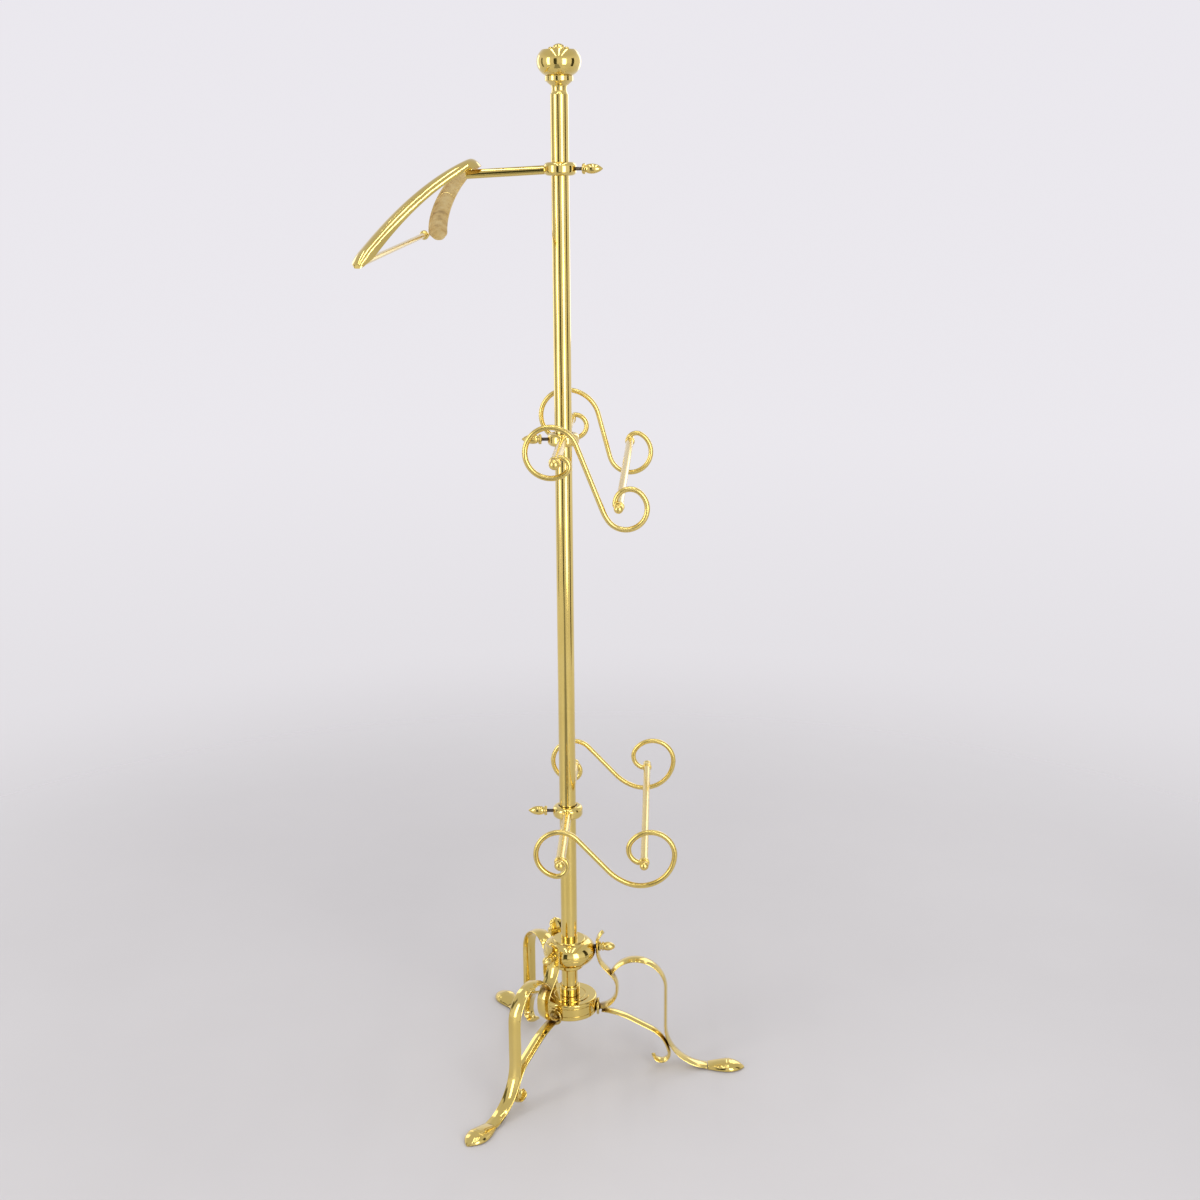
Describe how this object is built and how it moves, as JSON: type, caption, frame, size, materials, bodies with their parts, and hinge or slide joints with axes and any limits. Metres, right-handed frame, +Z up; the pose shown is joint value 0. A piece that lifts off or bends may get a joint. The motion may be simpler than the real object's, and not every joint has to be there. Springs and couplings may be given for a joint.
{
  "type": "clothes valet stand",
  "caption": "Polished brass clothes valet: a pole on scrolled legs with a jacket hanger and tilting scroll-ended trouser racks, each on a sliding, turning collar.",
  "frame": {"origin": "on the pole's axis at floor level", "axes": "+Z up along the pole; +X towards the side where the racks reach out, with the hanger on -X; +Y away from the viewer along the rack bars"},
  "size_m": [0.5386, 0.4923, 1.5335],
  "materials": {
    "polished_brass": "mirror polished and lacquered",
    "leg_brass": "polished flat strip, a little uneven, browned where it is brazed",
    "hanger_brass": "polished above, raw pressed metal underneath",
    "dark_steel": "dark steel studs and screws",
    "liner": "dull dark sleeve"
  },
  "bodies": {
    "stand": {"pole": "polished_brass", "pole_ferrule": "polished_brass", "base_disc": "polished_brass", "base_plug": "dark_steel", "base_bolt": "dark_steel", "base_washer": "dark_steel", "hub": "polished_brass", "top_plug": "dark_steel", "finial_stud": "dark_steel", "finial_neck": "polished_brass", "finial_ball": "polished_brass", "finial_rosette": "polished_brass", "right_leg_scroll": "leg_brass", "right_leg_brace": "leg_brass", "right_leg_strut": "leg_brass", "right_leg_foot": "leg_brass", "front_leg_scroll": "leg_brass", "front_leg_brace": "leg_brass", "front_leg_strut": "leg_brass", "front_leg_foot": "leg_brass", "rear_leg_scroll": "leg_brass", "rear_leg_brace": "leg_brass", "rear_leg_strut": "leg_brass", "rear_leg_foot": "leg_brass", "leg_studs": "dark_steel", "leg_nuts": "polished_brass", "disc_bosses": "polished_brass"},
    "hanger_slider": {"hanger_liner": "liner"},
    "hanger": {"hanger_collar": "polished_brass", "hanger_arm": "polished_brass", "hanger_crest": "hanger_brass", "shoulder_front": "hanger_brass", "shoulder_rear": "hanger_brass", "trouser_bar": "polished_brass", "bar_nuts": "polished_brass"},
    "hanger_thumbscrew": {"hanger_screw": "dark_steel", "hanger_knob": "polished_brass"},
    "upper_slider": {"upper_liner": "liner"},
    "upper_rack_rods": {"upper_collar": "polished_brass", "upper_stub_rods": "polished_brass", "upper_stub_caps": "polished_brass"},
    "upper_thumbscrew": {"upper_screw": "dark_steel", "upper_knob": "polished_brass"},
    "upper_rack": {"upper_scroll_front": "polished_brass", "upper_scroll_rear": "polished_brass", "upper_bar": "polished_brass", "upper_bar_caps": "polished_brass"},
    "lower_slider": {"lower_liner": "liner"},
    "lower_rack_rods": {"lower_collar": "polished_brass", "lower_stub_rods": "polished_brass", "lower_stub_caps": "polished_brass"},
    "lower_thumbscrew": {"lower_screw": "dark_steel", "lower_knob": "polished_brass"},
    "lower_rack": {"lower_scroll_front": "polished_brass", "lower_scroll_rear": "polished_brass", "lower_bar": "polished_brass", "lower_bar_caps": "polished_brass"}
  },
  "joints": [
    {"name": "hanger_slide", "type": "slide", "parent": "stand", "child": "hanger_slider", "axis": [0, 0, 1], "range_m": [-0.039, 0.071]},
    {"name": "hanger_swivel", "type": "hinge", "parent": "hanger_slider", "child": "hanger", "pos_m": [0, 0, 1.369], "axis": [0, 0, 1], "continuous": true},
    {"name": "hanger_thumbscrew_turn", "type": "hinge", "parent": "hanger", "child": "hanger_thumbscrew", "pos_m": [0, 0, 1.369], "axis": [0.9895, -0.1444, 0], "range_deg": [0, 360]},
    {"name": "upper_slide", "type": "slide", "parent": "stand", "child": "upper_slider", "axis": [0, 0, 1], "range_m": [-0.144, 0.066]},
    {"name": "upper_swivel", "type": "hinge", "parent": "upper_slider", "child": "upper_rack_rods", "pos_m": [0, 0, 0.994], "axis": [0, 0, 1], "continuous": true},
    {"name": "upper_thumbscrew_turn", "type": "hinge", "parent": "upper_rack_rods", "child": "upper_thumbscrew", "pos_m": [0, 0, 0.994], "axis": [-0.9993, 0.0384, 0], "range_deg": [0, 360]},
    {"name": "upper_rack_tilt", "type": "hinge", "parent": "upper_rack_rods", "child": "upper_rack", "pos_m": [0, 0, 0.994], "axis": [-0.0384, -0.9993, 0], "range_deg": [-48, 104]},
    {"name": "lower_slide", "type": "slide", "parent": "stand", "child": "lower_slider", "axis": [0, 0, 1], "range_m": [-0.067, 0.093]},
    {"name": "lower_swivel", "type": "hinge", "parent": "lower_slider", "child": "lower_rack_rods", "pos_m": [0, 0, 0.427], "axis": [0, 0, 1], "continuous": true},
    {"name": "lower_thumbscrew_turn", "type": "hinge", "parent": "lower_rack_rods", "child": "lower_thumbscrew", "pos_m": [0, 0, 0.427], "axis": [-0.9993, 0.0384, 0], "range_deg": [0, 360]},
    {"name": "lower_rack_tilt", "type": "hinge", "parent": "lower_rack_rods", "child": "lower_rack", "pos_m": [0, 0, 0.427], "axis": [-0.0384, -0.9993, 0], "range_deg": [-78, 78]}
  ]
}
